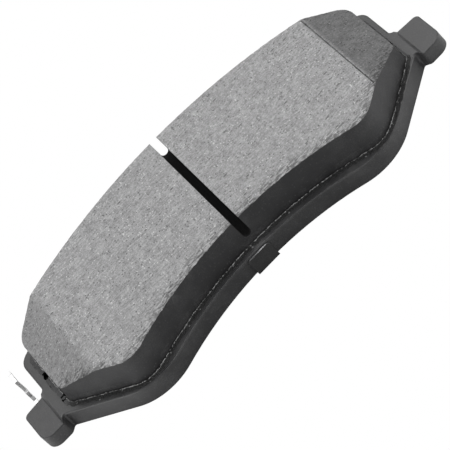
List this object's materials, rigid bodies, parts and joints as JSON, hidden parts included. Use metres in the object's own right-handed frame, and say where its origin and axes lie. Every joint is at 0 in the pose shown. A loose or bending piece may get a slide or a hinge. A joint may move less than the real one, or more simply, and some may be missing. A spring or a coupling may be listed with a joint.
{
  "type": "disc brake pad",
  "caption": "Disc brake pad: steel backing plate with guide ears, slotted and chamfered friction block, layered shim and a wear indicator.",
  "frame": {"origin": "on the shim's back face, midway along the pad, at the effective radius of the disc track (134.5 mm from the disc's axle)", "axes": "+X along the pad's length towards the ear without the wear indicator, +Y away from the disc's axle, +Z towards the disc"},
  "size_m": [0.165, 0.0701, 0.0169],
  "materials": {
    "backing_plate": "satin black powder coat over stamped steel",
    "underlayer": "moulded underlayer with a thin rough flash, painted with the plate",
    "friction_material": "ground grey friction compound with fine fibres, pits and metal flecks; sides painted black",
    "shim_adhesive": "thin film of pressure-sensitive adhesive",
    "shim_rubber": "matt black nitrile rubber coating",
    "shim_steel": "cold-rolled steel sheet",
    "spring_steel": "bright zinc-plated spring steel",
    "rivet_steel": "zinc-plated steel"
  },
  "bodies": {
    "root": {"backing_plate": "backing_plate", "underlayer": "underlayer", "friction_block": "friction_material", "shim_adhesive": "shim_adhesive", "shim_inner_rubber": "shim_rubber", "shim_steel_core": "shim_steel", "shim_outer_rubber": "shim_rubber", "wear_indicator": "spring_steel", "wear_indicator_rivet": "rivet_steel"}
  },
  "joints": []
}
